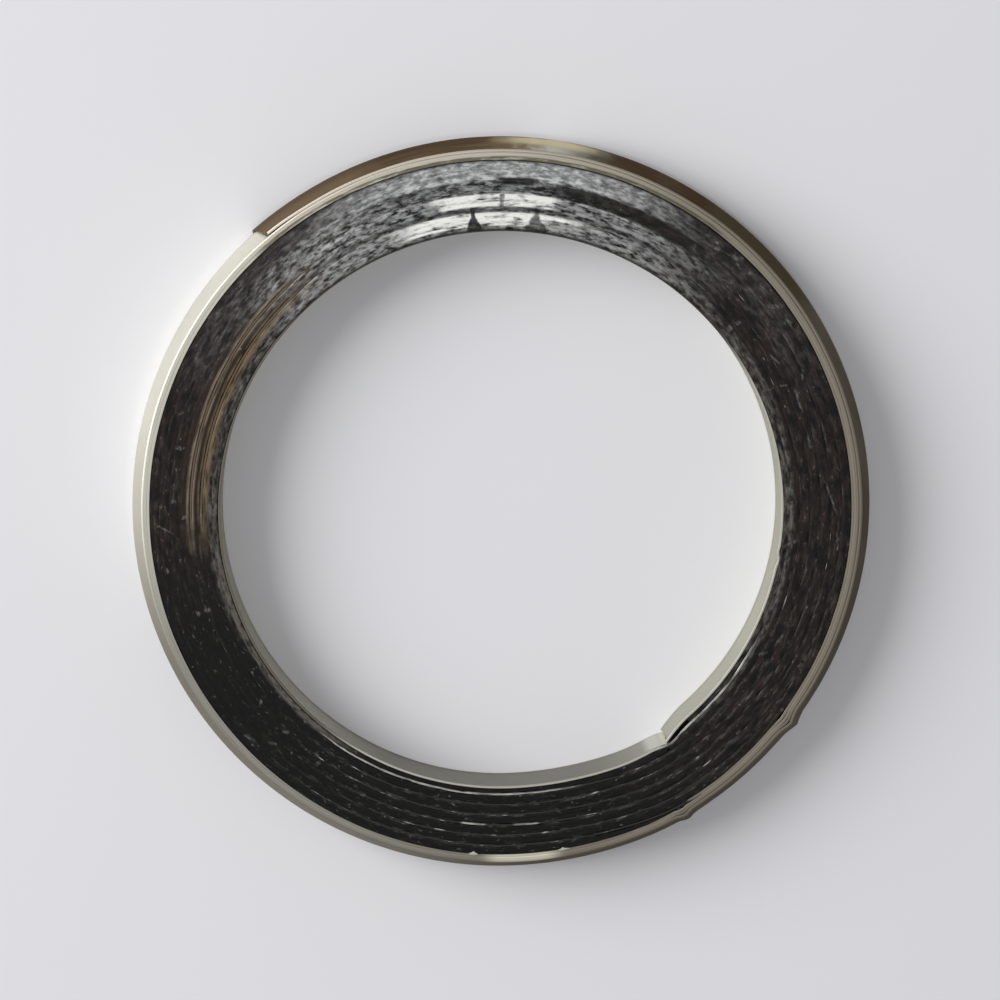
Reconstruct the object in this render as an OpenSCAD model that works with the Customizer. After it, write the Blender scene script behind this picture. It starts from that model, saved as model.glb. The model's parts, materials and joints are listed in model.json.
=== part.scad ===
// Spiral-wound exhaust ring gasket. One thin steel strip with a V-shaped section is wound flat
// round the bore, with one graphite tape between its turns. The last turns of the strip have no tape,
// so bare metal faces the bore and the outside. Each turn is round, and all turns step outward in the
// same short sector, where two tangent arcs carry the strip from one radius to the next. Two narrow
// pinched ridges cross the last turns. The ring lies on its lower face, with its axis on Z, and seen
// from above the strip runs outward anticlockwise.

/* [Ring] */
// Diameter of the bore, inside the first turn
bore_d = 49; // [30:0.5:90]
// Width of the steel strip, which is nearly the height of the ring
strip_w = 5.5; // [4:0.1:9]

/* [Steel strip] */
// Thickness of the strip, measured along the radius
strip_t = 0.2; // [0.12:0.01:0.3]
// How far the V of the section stands out
v_depth = 0.95; // [0.5:0.05:1.3]
// Straight land at each edge of the strip
edge_land = 0.6; // [0.3:0.05:0.9]
// Width of the flat crest of the V
crest_land = 0.8; // [0.4:0.05:1.2]

/* [Winding] */
// Number of full turns of tape, after the squeezed first one
filled_turns = 6; // [2:1:10]
// Number of full bare turns on the outside
outer_turns = 3; // [1:1:5]
// Gap between the first and the second turn, which squeezes the start of the tape
first_gap = 0.42; // [0.3:0.02:0.7]
// Gap between bare turns that lie on each other
ply_gap = 0.04; // [0.02:0.01:0.1]

/* [Graphite tape] */
// Thickness of the pressed tape, measured along the radius
tape_t = 0.68; // [0.4:0.02:1]
// Clearance between the tape and the strip on either side
tape_fit = 0.02; // [0.01:0.01:0.05]
// How far the tape stands above the edges of the strip
tape_proud = 0.05; // [0:0.01:0.3]

/* [Ends of the strip] */
// Angle at which the strip starts, on the bore
start_angle = 305; // [0:1:359]
// Angle at which the strip ends, on the outside, at its crest
end_angle = 131.3; // [0:0.5:359]
// Slant of the cut at the outer end, which leaves the upper edge shorter
end_slant = 19; // [0:1:30]
// Radius of the outward hook at the start of the strip
hook_bend = 20.5; // [15:0.5:40]

/* [Pinched ridges] */
// Angle of the wide ridge across the last turn
wide_ridge_angle = 323.3; // [310:0.1:350]
// Height of the wide ridge
wide_ridge_h = 0.35; // [0.1:0.05:0.5]
// Radius of the bend over the wide ridge
wide_ridge_bend = 2; // [1.5:0.1:3]
// Angle of the narrow ridge, where the strip climbs to its last turn
narrow_ridge_angle = 300.8; // [297:0.1:302]
// Height of the narrow ridge
narrow_ridge_h = 0.3; // [0.1:0.05:0.4]
// Radius of the bend over the narrow ridge
narrow_ridge_bend = 1; // [0.8:0.1:2]

/* [Hidden] */
$fn = 180;

// Lengths are whole microns, so that the arcs of the strip meet face to face
function micron(v) = round(v * 1000) / 1000;

ring_h = micron(strip_w + 2 * tape_proud);
mid_z = micron(ring_h / 2);
bore_r = micron(bore_d / 2);
first_pitch = micron(strip_t + first_gap);
filled_pitch = micron(strip_t + tape_t + 2 * tape_fit);
outer_pitch = micron(strip_t + ply_gap);
last_turn = 1 + filled_turns + outer_turns;

// Radial step after turn k, and the inner radius of turn k at its edges
function pitch(k) = k == 0 ? first_pitch : k <= filled_turns ? filled_pitch : outer_pitch;
function turn_r(k) = k == 0 ? bore_r : micron(turn_r(k - 1) + pitch(k - 1));
// The tape lies on the outside of turn k, and reaches out almost to the next turn
function tape_r(k) = micron(turn_r(k) + strip_t + tape_fit);
function tape_outer_r(k) = micron(turn_r(k + 1) - tape_fit);

outer_r = turn_r(last_turn) + strip_t + v_depth;

// Half of the sector in which the turns climb, as the sides of a 7-24-25 triangle, and the
// direction at which the hook leaves the first turn, as the sides of a 5-12-13 triangle
climb_x = 24;
climb_y = 7;
climb_hyp = 25;
hook_x = 12;
hook_y = 5;
hook_hyp = 13;
climb_angle = atan2(climb_y, climb_x);
// Angle of the middle of that sector, so that the strip starts at its own angle
placed_turn = start_angle - climb_angle;

// Slope of the line at which the tape ends, inside the climbing sector
tail_slope = 1 / 7;

// A cutting wedge reaches this many triangles out, well past the ring
reach = ceil(1.5 * outer_r / climb_x);
// Middle of the arc of the hook, a whole number of small triangles from the axis
hook_step = 0.001 * round((bore_r + hook_bend) / (0.001 * hook_hyp));
hook_middle = hook_step * [hook_x, hook_y];
hook_r = micron(hook_hyp * hook_step - bore_r);

// One side of the section: an edge land, the V and the other edge land, at radius r
function v_side(r, low, high) = [
    [r, low],
    [r, micron(tape_proud + edge_land)],
    [micron(r + v_depth), micron(mid_z - crest_land / 2)],
    [micron(r + v_depth), micron(mid_z + crest_land / 2)],
    [r, micron(ring_h - tape_proud - edge_land)],
    [r, high]
];

// A section of thickness t, from its inner side to its outer side
module v_section(r, t, low, high) {
    inner = v_side(r, low, high);
    outer = v_side(micron(r + t), low, high);
    polygon(concat(inner, [for (i = [len(outer) - 1:-1:0]) outer[i]]));
}

// A full round turn of the strip, or of the tape with thickness t
module strip_turn(r) {
    rotate_extrude() v_section(r, strip_t, tape_proud, micron(ring_h - tape_proud));
}

module tape_turn(r, t = tape_t) {
    rotate_extrude() v_section(r, t, 0, ring_h);
}

// Everything from the axis out to one side of the section at radius r
module inside(r) {
    rotate_extrude() polygon(concat([[0, 0]], v_side(r, 0, ring_h), [[0, ring_h]]));
}

// A prism over a flat shape, taller than the ring
module tall() {
    translate([0, 0, -ring_h]) linear_extrude(3 * ring_h) children();
}

// The sector in which the turns climb
module climb_sector() {
    tall() polygon([[0, 0], reach * [climb_x, -climb_y], reach * [climb_x, climb_y]]);
}

// The first half of a climb of p: outward of the old turn, on an arc about a point behind the axis
module leaving(p) {
    back = p / 2 * [-climb_x, climb_y];
    intersection() {
        translate(back) children();
        tall() polygon([back, reach * [climb_x, -climb_y], [reach * climb_x, back.y]]);
    }
}

// The second half: in towards the new turn, on an arc about a point ahead of the axis
module landing(p) {
    ahead = p / 2 * [climb_x, climb_y];
    intersection() {
        translate(ahead) children();
        tall() polygon([ahead, [reach * climb_x, ahead.y], reach * [climb_x, climb_y]]);
    }
}

// How far the middle of each climbing arc lies from the axis, for a climb of p
function climb_shift(p) = p / (2 * (1 - climb_x / climb_hyp));

// The climbs of the strip after the turns first to last, which share one pitch
module strip_climbs(first, last) {
    p = pitch(first);
    leaving(p) for (k = [first:last]) strip_turn(turn_r(k) + climb_shift(p));
    landing(p) for (k = [first:last]) strip_turn(turn_r(k + 1) - climb_shift(p));
}

// Everything inside a side of the section that climbs by p from radius r
module inside_climb(r, p) {
    leaving(p) inside(r + climb_shift(p));
    landing(p) inside(r + p - climb_shift(p));
}

// The room between two climbing sides, from r_in climbing by p_in out to r_out climbing by p_out
module between_climbs(r_in, p_in, r_out, p_out) {
    difference() {
        inside_climb(r_out, p_out);
        inside_climb(r_in, p_in);
        cylinder(r = bore_r, h = 3 * ring_h, center = true);
    }
}

// A ridge pinched into a stretch of strip that runs at radius r about its own middle: the strip is
// opened under the ridge and carried over it on a tight bend
module pinched(r, angle, h, bend) {
    ridge = (r + strip_t + h - bend) * [cos(angle), sin(angle)];
    difference() {
        children();
        translate(ridge) inside(bend - strip_t);
    }
    difference() {
        translate(ridge) strip_turn(bend - strip_t);
        inside(r);
    }
}

// The sector before the first plain stretch of the first turn: the climbs and the hook
module hook_sector() {
    tall() polygon([[0, 0], reach * [climb_x, -climb_y], 2 * hook_middle]);
}

// The first turn bends outward at its start, where it was hooked on the winding tool
module hooked_first_turn() {
    difference() {
        strip_turn(bore_r);
        hook_sector();
    }
    intersection() {
        translate(hook_middle) rotate_extrude() mirror([1, 0])
            v_section(-hook_r, strip_t, tape_proud, micron(ring_h - tape_proud));
        tall() polygon([[0, 0], [hook_middle.x, hook_middle.x * climb_y / climb_x], hook_middle]);
    }
}

// The wedge that is missing from the last turn, with its slanted cut at the end of the strip
module past_the_end() {
    end = end_angle - start_angle + climb_angle + 360;
    missing = 360 - end % 360;
    far = reach * climb_x;
    rotate(end) translate([0, 0, mid_z]) rotate([end_slant, 0, 0])
        linear_extrude(2 * far, center = true)
            polygon(concat([[0, 0]], [for (i = [0:4]) far * [cos(missing * i / 4), sin(missing * i / 4)]]));
}

// Turns the winding so that the strip starts at its angle
module placed() {
    rotate(placed_turn) children();
}

// The last climb has the narrow ridge, at its own angle as seen from the middle of the landing arc
module last_climb() {
    k = last_turn - 1;
    p = outer_pitch;
    r = turn_r(last_turn) - climb_shift(p);
    seen = narrow_ridge_angle - placed_turn;
    from_arc = outer_r * [cos(seen), sin(seen)] - p / 2 * [climb_x, climb_y];
    leaving(p) strip_turn(turn_r(k) + climb_shift(p));
    landing(p) pinched(r, atan2(from_arc.y, from_arc.x), narrow_ridge_h, narrow_ridge_bend) strip_turn(r);
}

// The last turn has the wide ridge and the cut end
module last_bare_turn() {
    r = turn_r(last_turn);
    pinched(r, wide_ridge_angle - placed_turn, wide_ridge_h, wide_ridge_bend) difference() {
        strip_turn(r);
        climb_sector();
        past_the_end();
    }
}

module steel_strip() color([0.74, 0.72, 0.66]) placed() {
    hooked_first_turn();
    strip_climbs(0, 0);
    difference() {
        for (k = [1:last_turn - 1]) strip_turn(turn_r(k));
        climb_sector();
    }
    strip_climbs(1, filled_turns);
    if (outer_turns > 1) strip_climbs(filled_turns + 1, last_turn - 2);
    last_climb();
    last_bare_turn();
}

// The tape starts behind the hook, squeezed thin, and thickens in the first climb
module first_tape_turn() {
    difference() {
        tape_turn(tape_r(0), micron(first_gap - 2 * tape_fit));
        hook_sector();
    }
    between_climbs(tape_r(0), first_pitch, tape_outer_r(0), filled_pitch);
}

// The tape ends in the narrowing room before the bare turns
module tape_tail() {
    difference() {
        between_climbs(tape_r(filled_turns), filled_pitch, tape_outer_r(filled_turns), outer_pitch);
        tall() polygon([[0, 0], reach * [climb_x, climb_x * tail_slope], reach * [climb_x, climb_x]]);
    }
}

module graphite_tape() color([0.16, 0.16, 0.16]) placed() {
    p = filled_pitch;
    first_tape_turn();
    difference() {
        for (k = [1:filled_turns]) tape_turn(tape_r(k));
        climb_sector();
    }
    leaving(p) for (k = [1:filled_turns - 1]) tape_turn(tape_r(k) + climb_shift(p));
    landing(p) for (k = [1:filled_turns - 1]) tape_turn(tape_r(k + 1) - climb_shift(p));
    tape_tail();
}

steel_strip();
graphite_tape();
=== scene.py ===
# %% [markdown]
# # A wound exhaust gasket
# This lesson dresses a flat ring gasket that is wound from one thin steel strip and one graphite tape.
# The construction model gives the true sizes, and this script loads it as a fixed frame. Everything
# that is made here sits in that same frame, in metres, so no piece has to be fitted afterwards.

# %% Load the frame
import json
import math

import bmesh
import bpy
from mathutils import Matrix, Vector, noise


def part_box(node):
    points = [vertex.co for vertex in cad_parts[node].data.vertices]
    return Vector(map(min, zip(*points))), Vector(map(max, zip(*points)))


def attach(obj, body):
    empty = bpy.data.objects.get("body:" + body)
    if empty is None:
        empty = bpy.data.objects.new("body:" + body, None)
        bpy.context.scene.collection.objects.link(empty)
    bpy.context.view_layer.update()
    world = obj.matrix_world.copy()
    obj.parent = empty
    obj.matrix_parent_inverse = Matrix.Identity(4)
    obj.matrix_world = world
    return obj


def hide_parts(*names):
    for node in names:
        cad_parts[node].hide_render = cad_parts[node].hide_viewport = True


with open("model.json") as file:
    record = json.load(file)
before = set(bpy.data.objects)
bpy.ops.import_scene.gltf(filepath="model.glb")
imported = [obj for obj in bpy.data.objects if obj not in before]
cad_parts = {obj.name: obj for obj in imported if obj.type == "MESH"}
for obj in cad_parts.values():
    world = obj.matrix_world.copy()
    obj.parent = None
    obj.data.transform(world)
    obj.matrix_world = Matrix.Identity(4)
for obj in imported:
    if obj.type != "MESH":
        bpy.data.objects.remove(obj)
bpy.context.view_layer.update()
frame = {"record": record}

# %% [markdown]
# ## Sizes
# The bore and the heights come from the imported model. Meshes are wound in millimetres, because the
# numbers stay readable, and each is scaled to metres once, at the end.

# %% Sizes from the frame
MM = 0.001
bore_mount = next(m for m in frame["record"]["mounts"] if m["name"] == "pipe_bore")
tape_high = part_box("graphite_tape")[1]
strip_low, strip_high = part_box("steel_strip")

BORE_R = bore_mount["dims"]["r_mm"]
RING_H = tape_high.z / MM
STRIP_LOW_Z = strip_low.z / MM
STRIP_HIGH_Z = strip_high.z / MM
MID_Z = RING_H / 2
print("bore radius", BORE_R, "mm, height", round(RING_H, 2), "mm")

# %% [markdown]
# ## Turns
# The gauges of the strip and of the tape are sizes of the real stock. The first gap holds tape that was
# squeezed thin at the start, six more hold full tape, and the last turns are bare and lie close.

# %% Turns of the strip
STRIP_T = 0.2
TAPE_T = 0.68
FIRST_TAPE_T = 0.38
TAPE_FIT = 0.02
PLY_GAP = 0.04
FIRST_PITCH = STRIP_T + FIRST_TAPE_T + 2 * TAPE_FIT
FILLED_PITCH = STRIP_T + TAPE_T + 2 * TAPE_FIT
OUTER_PITCH = STRIP_T + PLY_GAP
FILLED_TURNS = 6
FIRST_BARE = FILLED_TURNS + 1
LAST_TURN = FIRST_BARE + 3


def pitch(k):
    """Radial step after turn k of the strip."""
    if k == 0:
        return FIRST_PITCH
    return FILLED_PITCH if k <= FILLED_TURNS else OUTER_PITCH


def turn_radius(k):
    """Inner radius of turn k of the strip, at its edges."""
    return BORE_R + sum(pitch(i) for i in range(k))


print("strip turns at", [round(turn_radius(k), 2) for k in range(LAST_TURN + 1)], "mm")

# %% [markdown]
# ## Camera
# The ring lies flat, and the photograph looks down on it from a little off its axis, so that some of the
# outer wall shows at the top of the picture and some of the bore wall at the bottom. A long lens from
# about a third of a metre keeps the circles nearly round. The camera's axes are built by hand, because
# a tracking rotation may roll a camera that looks straight down.

# %% Camera
CAMERA_DISTANCE = 0.35
CAMERA_TILT = math.radians(8.7)
CAMERA_SIDE = math.radians(100)
LENS_MM, SENSOR_MM = 143.3, 36
SHIFT_X, SHIFT_Y = -0.0004, 0.007

ring_middle = Vector((0, 0, MID_Z * MM))
to_camera = Vector((
    math.sin(CAMERA_TILT) * math.cos(CAMERA_SIDE),
    math.sin(CAMERA_TILT) * math.sin(CAMERA_SIDE),
    math.cos(CAMERA_TILT),
))
right = Vector((0, 1, 0)).cross(to_camera).normalized()
up = to_camera.cross(right)
camera_data = bpy.data.cameras.new("camera")
camera_data.lens = LENS_MM
camera_data.sensor_width = SENSOR_MM
camera_data.shift_x = SHIFT_X
camera_data.shift_y = SHIFT_Y
camera = bpy.data.objects.new("camera", camera_data)
turned = Matrix((right, up, to_camera)).transposed().to_4x4()
camera.matrix_world = Matrix.Translation(ring_middle + CAMERA_DISTANCE * to_camera) @ turned
bpy.context.scene.collection.objects.link(camera)
bpy.context.scene.camera = camera
print("camera", round(math.degrees(CAMERA_TILT), 1), "degrees off the axis")

# %% [markdown]
# ## The path of the strip
# The path is a chain of round arcs: a turn about the axis, then a short climb of two arcs to the next
# turn. All climbs lie in one sector, where the strip starts. The sides of a 7-24-25 triangle give that
# sector, as in the construction model. Each arc is a centre, a radius, a first direction, a sweep and
# the turn numbers at its two ends. The sector is wound on the +X side and turned into place afterwards.

# %% Arcs
START_DEG = 305
END_DEG = 129.8
AXIS = Vector((0, 0, 0))
CLIMB = math.atan2(7, 24)
HOOK_ROOT = math.atan2(5, 12)
WINDING_TURN = math.radians(START_DEG) - CLIMB


def turn_arc(k, first=CLIMB, sweep=2 * math.pi - 2 * CLIMB):
    return (AXIS, turn_radius(k), first, sweep, k, k)


def climb_arcs(k):
    """The arc that leaves turn k and the arc that lands on turn k + 1."""
    p = pitch(k)
    return [
        (Vector((-12 * p, 3.5 * p, 0)), turn_radius(k) + 12.5 * p, -CLIMB, CLIMB, k, k + 0.5),
        (Vector((12 * p, 3.5 * p, 0)), turn_radius(k + 1) - 12.5 * p, 0, CLIMB, k + 0.5, k + 1),
    ]


def strip_path():
    """All arcs of the strip after its hook."""
    arcs = [turn_arc(0, HOOK_ROOT, 2 * math.pi - CLIMB - HOOK_ROOT)]
    for k in range(1, LAST_TURN):
        arcs += climb_arcs(k - 1) + [turn_arc(k)]
    last_sweep = math.radians((END_DEG - START_DEG) % 360)
    return arcs + climb_arcs(LAST_TURN - 1) + [turn_arc(LAST_TURN, CLIMB, last_sweep)]


print(len(strip_path()), "arcs in the strip")

# %% [markdown]
# ## Winding by spins
# Blender's spin turns a section about a centre and leaves a skin behind it, which is what a winding
# machine does with a strip. Each arc is spun in a small mesh of its own, because a spin slows down as
# its mesh grows, and the arcs are then welded end to end. Every vertex carries four numbers for the
# later steps: the distance along the strip, the place across it, the turn and the part of the section.

# %% Spin helpers
Z_AXIS = Vector((0, 0, 1))
TAGS = ("along", "across", "turn", "part")
SIDE, TOP, BOTTOM = 0.0, 1.0, 2.0
ANGLE_SLACK = 0.001
WELD_REACH = 0.004


def tag_layers(bm):
    return [bm.verts.layers.float.get(name) or bm.verts.layers.float.new(name) for name in TAGS]


def spin_arc(whole, section, arc, step, along_start, outward=1):
    """Spins a section of (offset, height, part, across) along an arc, and adds the skin to the whole."""
    centre, radius, first, sweep, turn_a, turn_b = arc
    bm = bmesh.new()
    along, across, turn, part = tag_layers(bm)
    ring = []
    for offset, height, part_value, across_value in section:
        reach = radius + outward * offset
        v = bm.verts.new(centre + Vector((reach * math.cos(first), reach * math.sin(first), height)))
        v[across] = across_value
        v[part] = part_value
        ring.append(v)
    edges = [bm.edges.new(pair) for pair in zip(ring, ring[1:] + ring[:1])]
    steps = max(3, round(radius * sweep / step))
    bmesh.ops.spin(bm, geom=ring + edges, cent=centre, axis=Z_AXIS, angle=sweep, steps=steps, use_merge=False)
    for v in bm.verts:
        spoke = v.co - centre
        turned_by = (math.atan2(spoke.y, spoke.x) - first + ANGLE_SLACK) % (2 * math.pi) - ANGLE_SLACK
        v[along] = along_start + outward * radius * turned_by
        v[turn] = turn_a + (turn_b - turn_a) * turned_by / sweep
    mesh = bpy.data.meshes.new("arc")
    bm.to_mesh(mesh)
    bm.free()
    whole.from_mesh(mesh)
    bpy.data.meshes.remove(mesh)
    return along_start + radius * sweep


def weld(bm):
    """Joins the arcs end to end, caps the two open ends and turns all faces outward."""
    rims = [v for v in bm.verts if v.is_boundary]
    bmesh.ops.remove_doubles(bm, verts=rims, dist=WELD_REACH)
    bmesh.ops.holes_fill(bm, edges=[e for e in bm.edges if e.is_boundary], sides=0)
    bmesh.ops.recalc_face_normals(bm, faces=bm.faces[:])
    bmesh.ops.rotate(bm, verts=bm.verts[:], cent=AXIS, matrix=Matrix.Rotation(WINDING_TURN, 3, "Z"))


def to_piece(bm, name, smooth_angle):
    """Scales the winding to metres and makes it an object at the origin."""
    bmesh.ops.scale(bm, verts=bm.verts[:], vec=(MM, MM, MM))
    mesh = bpy.data.meshes.new(name)
    bm.to_mesh(mesh)
    bm.free()
    mesh.polygons.foreach_set("use_smooth", [True] * len(mesh.polygons))
    mesh.set_sharp_from_angle(angle=math.radians(smooth_angle))
    piece = bpy.data.objects.new(name, mesh)
    bpy.context.scene.collection.objects.link(piece)
    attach(piece, "root")
    print(name, len(mesh.vertices), "vertices,", len(mesh.polygons), "faces")
    return piece


# %% [markdown]
# ## Places on the ring
# All marks of making and use are written as functions of the angle round the ring, in degrees from +X.
# A window is a mark that fades out at both ends, and a ripple is an even noise.

# %% Places on the ring
def smooth(low, high, value):
    """0 below low, 1 above high and an even curve between."""
    t = min(1.0, max(0.0, (value - low) / (high - low)))
    return t * t * (3 - 2 * t)


def degrees_off(deg, middle):
    return (deg - middle + 180) % 360 - 180


def window(deg, middle, half, fade):
    """1 within half of an angle, 0 beyond half plus fade."""
    return 1 - smooth(half, half + fade, abs(degrees_off(deg, middle)))


def ripple(x, y, seed):
    """Even noise from -1 to 1."""
    return noise.noise(Vector((x, y, seed)))


def place(co):
    """Radius and angle of a point."""
    return math.hypot(co.x, co.y), math.degrees(math.atan2(co.y, co.x)) % 360


def moved(radius, deg, height):
    angle = math.radians(deg)
    return Vector((radius * math.cos(angle), radius * math.sin(angle), height))


print("half way down a window:", window(15, 0, 10, 10))

# %% [markdown]
# ## Marks that touch both pieces
# The second turn of the strip bulges where it passes over the hook of the first, and takes the tape with
# it. The pressed graphite has crept over the edges of the strip: it hides them all along the top, and
# leaves them open as thin lines on the near side and in a patch on the left.

# %% Marks that touch both pieces
BULGE_AT = 305.9
BULGE = 0.34
BULGE_BEFORE, BULGE_AFTER = 2.4, 3.0


def hook_bulge(deg):
    """How far the second turn bulges over the hook."""
    off = degrees_off(deg, BULGE_AT)
    return BULGE * math.exp(-((off / (BULGE_BEFORE if off < 0 else BULGE_AFTER)) ** 2))


def covered(deg, ply, along):
    """How far the graphite has crept over the edge of a turn: 0 open, 1 closed."""
    if ply > FIRST_BARE - 0.7:
        return 0.0
    amount = 1.0 + 0.5 * ripple(along / 5.0, ply * 2.3, 4.0) + 0.45 * ripple(along / 1.3, ply * 2.3, 9.0)
    # Open lines on the near side, and the brown patch on the left.
    amount -= 0.55 * window(deg, 275, 28, 16) * (1 if ply < 6.4 else 0)
    amount -= 1.2 * window(deg, 155, 22, 10) * (1 - smooth(0.5, 0.9, abs(ply - 2.5)))
    # Closed along the top, and on the outer plies of the left side.
    amount += 0.6 * window(deg, 95, 32, 12) + 0.6 * window(deg, 170, 55, 15) * smooth(3.3, 3.6, ply)
    # Bright stretches of the second and the fifth turn, and the bore turn.
    if 0.6 < ply < 1.4:
        amount -= 1.3 * window(deg, 253, 15, 6) + 1.5 * window(deg, 316, 16, 5)
    if 3.6 < ply < 4.4:
        amount -= 0.9 * window(deg, 264.7, 2.4, 1.0) + 0.9 * window(deg, 274.8, 2.4, 1.0)
    if ply < 0.6:
        amount -= 0.9 * (1 - window(deg, 90, 45, 15))
    return min(1.0, max(0.0, amount))


print("covered at the top", round(covered(90, 3, 0), 2), "and at the bottom", round(covered(270, 3, 0), 2))

# %% [markdown]
# ## Steel strip
# The section is a shallow V that was rolled into the strip, so its bends are round and not sharp. Each
# bend gets two points, and smooth shading rounds the rest. The upper edge has a small round of its own,
# because it catches the light.

# %% Section of the strip
V_DEPTH = 0.95
EDGE_LAND = 0.6
CREST_LAND = 0.8
BEND = 0.15
EDGE_ROUND = 0.03
V_SLOPE = V_DEPTH / (MID_Z - CREST_LAND / 2 - STRIP_LOW_Z - EDGE_LAND)


def v_profile(low, high):
    """Height and outward set of one side of the V, from its lower to its upper edge."""
    lower = STRIP_LOW_Z + EDGE_LAND
    crest = MID_Z - CREST_LAND / 2
    half = [
        (low, 0), (lower - BEND, 0), (lower + BEND, BEND * V_SLOPE),
        (crest - BEND, V_DEPTH - BEND * V_SLOPE), (crest + BEND, V_DEPTH),
    ]
    mirrored = [(2 * MID_Z - z, out) for z, out in half[:0:-1]]
    return half + mirrored + [(high, 0)]


def strip_section():
    sides = v_profile(STRIP_LOW_Z, STRIP_HIGH_Z - EDGE_ROUND)
    inner = [(out, z, SIDE, 0.0) for z, out in sides]
    top = [(EDGE_ROUND, STRIP_HIGH_Z, TOP, 0.0), (STRIP_T - EDGE_ROUND, STRIP_HIGH_Z, TOP, 1.0)]
    outer = [(STRIP_T + out, z, SIDE, 1.0) for z, out in sides]
    return inner + top + outer[::-1]


print(len(strip_section()), "points round the strip's section")

# %% [markdown]
# ## Winding the strip
# The strip starts with a small outward hook on the bore, makes its turns and ends on the outside. Turns
# that lie inside the graphite take longer steps than the first and the bare ones, which show.

# %% Wind the strip
HOOK_BEND = 20.5
HOOK_STEP, SHOWN_STEP, HIDDEN_STEP = 0.25, 0.42, 0.8


def strip_step(arc):
    turn = arc[4]
    return HIDDEN_STEP if 1.5 < turn < FIRST_BARE - 0.6 else SHOWN_STEP


bm = bmesh.new()
along, across, turn, part = tag_layers(bm)
hook_middle = (BORE_R + HOOK_BEND) * Vector((math.cos(HOOK_ROOT), math.sin(HOOK_ROOT), 0))
hook_sweep = BORE_R * (HOOK_ROOT - CLIMB) / HOOK_BEND
hook_arc = (hook_middle, HOOK_BEND, HOOK_ROOT + math.pi, hook_sweep, 0, 0)
spin_arc(bm, strip_section(), hook_arc, HOOK_STEP, 0.0, outward=-1)
wound = 0.0
for arc in strip_path():
    wound = spin_arc(bm, strip_section(), arc, strip_step(arc), wound)
weld(bm)
print("strip wound,", round(wound / 1000, 2), "m long")

# %% [markdown]
# ## Shape of the strip
# The wound skin is now too perfect. All edges waver a little, the second turn bulges over the hook, and
# the hook itself bends a little further out. Two pinched ridges cross the bare turns. Their edges were
# rubbed over each other, so they close their gaps, and the edge of the last one is rounded. The outer
# end was cut on a slant and lifts off the turn below. Two small burrs stand up at the bottom.

# %% Shape of the strip
HOOK_TIP_OUT, HOOK_TIP_REACH = 0.28, 2.7
RIDGES = ((323.3, 2.5, 0.34), (300.8, 1.6, 0.3))
RUBBED_OVER = PLY_GAP - 0.004
LAST_EDGE_DROP = 0.022
END_LIFT = 0.11
BURR_ON_FIRST, BURR_ON_NEXT = (265.4, 0.55), (280.4, 0.8)


def ridge(deg, middle, half):
    return max(0.0, 1 - abs(degrees_off(deg, middle)) / half) ** 1.4


def shape_inner_turns(v, k, deg, edge):
    """Outward moves of the hook, the second turn over it and the nick in the bore edge."""
    out = 0.0
    if v[along] < 0:
        out += HOOK_TIP_OUT * min(1.0, -v[along] / HOOK_TIP_REACH) ** 1.2
    if 0.4 < k < 1.3:
        out += hook_bulge(deg)
    if k < 0.2:
        out += 0.16 * edge * ridge(deg, 349.6, 1.3) - 0.1 * edge * ridge(deg, 351.4, 1.0)
    return out


def shape_bare_turns(v, k, deg, edge):
    """Outward move and lift of the bare turns: ridges, rubbed edges and burrs."""
    follows = 0.4 + 0.2 * max(0.0, k - FIRST_BARE)
    out = follows * sum(high * ridge(deg, at, half) for at, half, high in RIDGES)
    out -= follows * 0.05 * window(deg, 312, 6, 5)
    lift = 0.0
    if edge > 0.9:
        outer_side = v[across] > 0.5
        if outer_side:
            out += RUBBED_OVER
        facing = k < LAST_TURN - 1.2 if outer_side else k > FIRST_BARE + 0.6
        if facing and v.co.z < STRIP_HIGH_Z - 0.01:
            lift += EDGE_ROUND - 0.005
        if k > LAST_TURN - 1.2 and outer_side:
            lift -= LAST_EDGE_DROP
        if FIRST_BARE - 0.02 < k < FIRST_BARE + 0.6:
            burr = ridge(deg, *(BURR_ON_FIRST if k < FIRST_BARE + 0.02 else BURR_ON_NEXT))
            out -= 0.24 * burr * (1 - v[across])
            lift += 0.09 * burr
    return out, lift


def shape_strip(v):
    radius, deg = place(v.co)
    k = v[turn]
    z = v.co.z
    up_share = (z - MID_Z) / (STRIP_HIGH_Z - MID_Z)
    edge = smooth(0.55, 1.0, up_share)
    buried = smooth(0.6, 1.0, k) * (1 - smooth(FIRST_BARE - 1, FIRST_BARE - 0.5, k))
    out = (0.012 + 0.02 * buried) * ripple(v[along] / 5, k, 1.0) * (0.3 + edge)
    out += 0.016 * buried * edge * ripple(v[along] / 1.1, k, 3.0)
    lift = (0.01 + 0.02 * buried) * ripple(v[along] / 3.5, k, 2.0) * edge
    slide = 0.0
    out += shape_inner_turns(v, k, deg, edge)
    if k > FIRST_BARE - 0.1:
        bare_out, bare_lift = shape_bare_turns(v, k, deg, edge)
        out += bare_out
        lift += bare_lift
    if k > LAST_TURN - 0.02 and abs(degrees_off(deg, END_DEG)) < 14:
        near = smooth(-12, 0, degrees_off(deg, END_DEG))
        out += END_LIFT * near * near * (0.3 + 0.7 * max(0.0, up_share))
        slide += near * (1.5 - 1.7 * up_share)
    v.co = moved(radius + out, deg + slide, z + lift)


for v in bm.verts:
    shape_strip(v)
strip = to_piece(bm, "wound_strip", smooth_angle=40)
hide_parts("steel_strip")

# %% [markdown]
# ## Graphite tape
# The section of the tape is a flat band pressed to the same V. Its top has more points than its hidden
# sides, because the top is what shows.

# %% Section of the tape
TOP_SHARES = (0.0, 0.1, 0.24, 0.38, 0.52, 0.66, 0.8, 0.91, 1.0)
BOTTOM_SHARES = (0.92, 0.5, 0.08)
TAPE_SKIN = 0.05


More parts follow.
